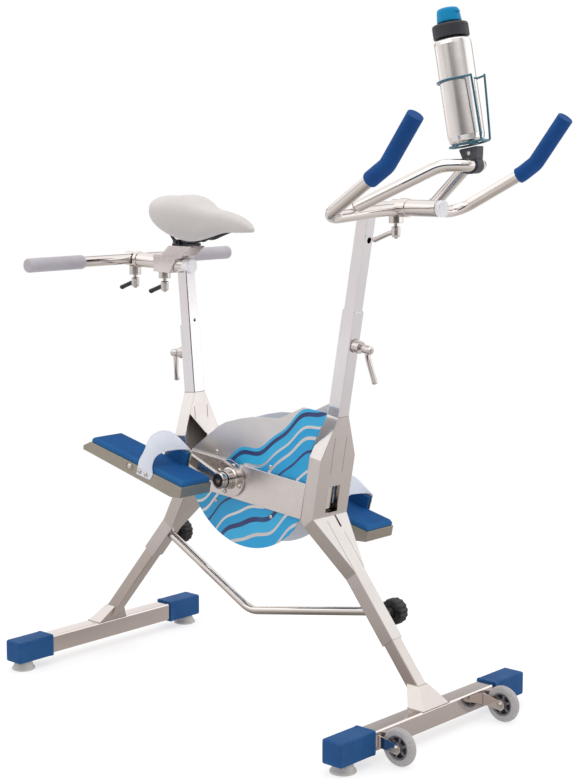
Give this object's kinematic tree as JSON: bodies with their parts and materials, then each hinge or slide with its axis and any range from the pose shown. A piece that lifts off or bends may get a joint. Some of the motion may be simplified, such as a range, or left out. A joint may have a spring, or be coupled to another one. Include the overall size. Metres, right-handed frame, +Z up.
{
  "type": "water exercise bike",
  "caption": "Water exercise bike: stainless frame on telescoping legs with end caps and transport wheels, pedals with foot straps, adjustable saddle, rear handle and handlebar, caged bottle.",
  "frame": {"origin": "on the floor under the middle of the bike's bounding box", "axes": "+X towards the handlebar end, +Y to the rider's left, +Z up"},
  "size_m": [1.227, 0.666, 1.5531],
  "materials": {
    "polished_steel": "bright polished stainless with faint grain",
    "dark_lever_metal": "satin",
    "printed_plate": "satin print on steel",
    "blue_rubber": "matte",
    "grey_rubber": "matte",
    "clear_grey_tread": "satin",
    "dark_hub": "satin",
    "black_knob": "satin",
    "pale_blue_plastic": "satin",
    "tray_metal": "satin",
    "blue_foam": "soft matte foam",
    "white_strap": "matte webbing",
    "grey_foam": "soft matte foam",
    "saddle_cover": "smooth vinyl",
    "dark_plastic": "satin",
    "teal_wire": "gloss",
    "cyan_plastic": "gloss"
  },
  "bodies": {
    "frame": {"front_bracket_and_leg_sleeve": "polished_steel", "rear_bracket_and_leg_sleeve": "polished_steel", "handlebar_post_sleeve": "polished_steel", "saddle_post_sleeve": "polished_steel", "stretcher_tube": "polished_steel", "side_beam_right": "polished_steel", "side_beam_left": "polished_steel", "side_plate_right": "printed_plate", "side_plate_left": "printed_plate", "bearing_flange_right": "polished_steel", "bearing_flange_left": "polished_steel"},
    "front_foot": {"front_foot_frame": "polished_steel", "front_end_cap_right": "blue_rubber", "front_end_cap_left": "blue_rubber", "front_rubber_foot_right": "grey_rubber", "front_rubber_foot_left": "grey_rubber"},
    "rear_foot": {"rear_foot_frame": "polished_steel", "rear_end_cap_right": "blue_rubber", "rear_end_cap_left": "blue_rubber", "rear_rubber_foot_right": "grey_rubber", "rear_rubber_foot_left": "grey_rubber"},
    "wheel_right": {"wheel_tyre_right": "clear_grey_tread", "wheel_hub_right": "dark_hub"},
    "wheel_left": {"wheel_tyre_left": "clear_grey_tread", "wheel_hub_left": "dark_hub"},
    "front_knob": {"front_leg_knob": "black_knob"},
    "rear_knob": {"rear_leg_knob": "black_knob"},
    "crank": {"crank_axle": "polished_steel", "paddle_rotor": "pale_blue_plastic", "crank_arm_right": "polished_steel", "crank_arm_left": "polished_steel"},
    "pedal_right": {"pedal_tray_right": "tray_metal", "pedal_pad_right": "blue_foam", "pedal_strap_right": "white_strap"},
    "pedal_left": {"pedal_tray_left": "tray_metal", "pedal_pad_left": "blue_foam", "pedal_strap_left": "white_strap"},
    "handlebar_post": {"handlebar_post_and_slide": "polished_steel"},
    "handlebar_post_clamp": {"handlebar_post_lever": "polished_steel"},
    "handlebar_assembly": {"handlebar": "polished_steel", "handlebar_grip_right": "blue_foam", "handlebar_grip_left": "blue_foam", "bottle_clamp": "dark_plastic", "bottle_cage": "teal_wire"},
    "handlebar_slide_clamp": {"handlebar_slide_lever": "polished_steel"},
    "saddle_post": {"saddle_post_and_slide_tube": "polished_steel"},
    "saddle_post_clamp": {"saddle_post_lever": "polished_steel"},
    "rear_handle_assembly": {"rear_handle": "polished_steel", "rear_handle_grip_right": "grey_foam", "rear_handle_grip_left": "grey_foam"},
    "rear_handle_clamp": {"rear_handle_lever": "dark_lever_metal"},
    "saddle_assembly": {"saddle_carriage": "polished_steel", "saddle_rails_and_clamp": "polished_steel", "saddle": "saddle_cover"},
    "saddle_slide_clamp": {"saddle_slide_lever": "dark_lever_metal"},
    "bottle": {"bottle_body": "polished_steel"},
    "bottle_lid_body": {"bottle_lid": "dark_plastic"},
    "bottle_cap": {"bottle_flip_cap": "cyan_plastic"}
  },
  "joints": [
    {"name": "front_leg_slide", "type": "slide", "parent": "frame", "child": "front_foot", "axis": [0.6225, 0, -0.7826], "range_m": [-0.05, 0.07]},
    {"name": "rear_leg_slide", "type": "slide", "parent": "frame", "child": "rear_foot", "axis": [-0.6468, 0, -0.7627], "range_m": [-0.04, 0.05]},
    {"name": "wheel_right_spin", "type": "hinge", "parent": "front_foot", "child": "wheel_right", "pos_m": [0.5188, -0.186, 0.0415], "axis": [0, 1, 0], "continuous": true},
    {"name": "wheel_left_spin", "type": "hinge", "parent": "front_foot", "child": "wheel_left", "pos_m": [0.5188, 0.186, 0.0415], "axis": [0, 1, 0], "continuous": true},
    {"name": "front_knob_turn", "type": "hinge", "parent": "frame", "child": "front_knob", "pos_m": [0.31007, 0.055, 0.242], "axis": [0, 1, 0], "range_deg": [-180, 180]},
    {"name": "rear_knob_turn", "type": "hinge", "parent": "frame", "child": "rear_knob", "pos_m": [-0.36796, 0.055, 0.323], "axis": [0, 1, 0], "range_deg": [-180, 180]},
    {"name": "crank_spin", "type": "hinge", "parent": "frame", "child": "crank", "pos_m": [-0.0832, 0, 0.5105], "axis": [0, 1, 0], "continuous": true},
    {"name": "pedal_right_spin", "type": "hinge", "parent": "crank", "child": "pedal_right", "pos_m": [-0.22178, -0.122, 0.5679], "axis": [0, 1, 0], "continuous": true},
    {"name": "pedal_left_spin", "type": "hinge", "parent": "crank", "child": "pedal_left", "pos_m": [0.05538, 0.122, 0.4531], "axis": [0, 1, 0], "continuous": true},
    {"name": "handlebar_post_slide", "type": "slide", "parent": "frame", "child": "handlebar_post", "axis": [0.1736, 0, 0.9848], "range_m": [-0.04, 0.09]},
    {"name": "handlebar_post_lever_turn", "type": "hinge", "parent": "frame", "child": "handlebar_post_clamp", "pos_m": [0.25552, 0, 0.83566], "axis": [0.9848, 0, -0.1736], "range_deg": [-90, 90]},
    {"name": "handlebar_slide", "type": "slide", "parent": "handlebar_post", "child": "handlebar_assembly", "axis": [1, 0, 0], "range_m": [0, 0.045]},
    {"name": "handlebar_slide_lever_turn", "type": "hinge", "parent": "handlebar_assembly", "child": "handlebar_slide_clamp", "pos_m": [0.3498, 0, 1.11], "axis": [0, 0, 1], "range_deg": [-90, 90]},
    {"name": "saddle_post_slide", "type": "slide", "parent": "frame", "child": "saddle_post", "axis": [-0.0889, 0, 0.996], "range_m": [-0.04, 0.08]},
    {"name": "saddle_post_lever_turn", "type": "hinge", "parent": "frame", "child": "saddle_post_clamp", "pos_m": [-0.30457, 0, 0.77976], "axis": [-0.996, 0, -0.0889], "range_deg": [-90, 90]},
    {"name": "rear_handle_slide", "type": "slide", "parent": "saddle_post", "child": "rear_handle_assembly", "axis": [-0.999, 0, 0.0436], "range_m": [0, 0.1]},
    {"name": "rear_handle_lever_turn", "type": "hinge", "parent": "saddle_post", "child": "rear_handle_clamp", "pos_m": [-0.4622, 0, 0.96], "axis": [0, 0, 1], "range_deg": [-90, 90]},
    {"name": "saddle_slide", "type": "slide", "parent": "saddle_post", "child": "saddle_assembly", "axis": [0.999, 0, -0.0436], "range_m": [-0.02, 0.014]},
    {"name": "saddle_slide_lever_turn", "type": "hinge", "parent": "saddle_assembly", "child": "saddle_slide_clamp", "pos_m": [-0.3587, 0, 0.956], "axis": [0, 0, 1], "range_deg": [-90, 90]},
    {"name": "bottle_lift", "type": "slide", "parent": "handlebar_assembly", "child": "bottle", "axis": [-0.1978, 0, 0.9802], "range_m": [0, 0.15]},
    {"name": "bottle_lid_turn", "type": "hinge", "parent": "bottle", "child": "bottle_lid_body", "pos_m": [0.4888, 0, 1.498], "axis": [-0.1978, 0, 0.9802], "continuous": true},
    {"name": "bottle_cap_flip", "type": "hinge", "parent": "bottle_lid_body", "child": "bottle_cap", "pos_m": [0.50844, 0, 1.52706], "axis": [0, 1, 0], "range_deg": [0, 110]}
  ]
}
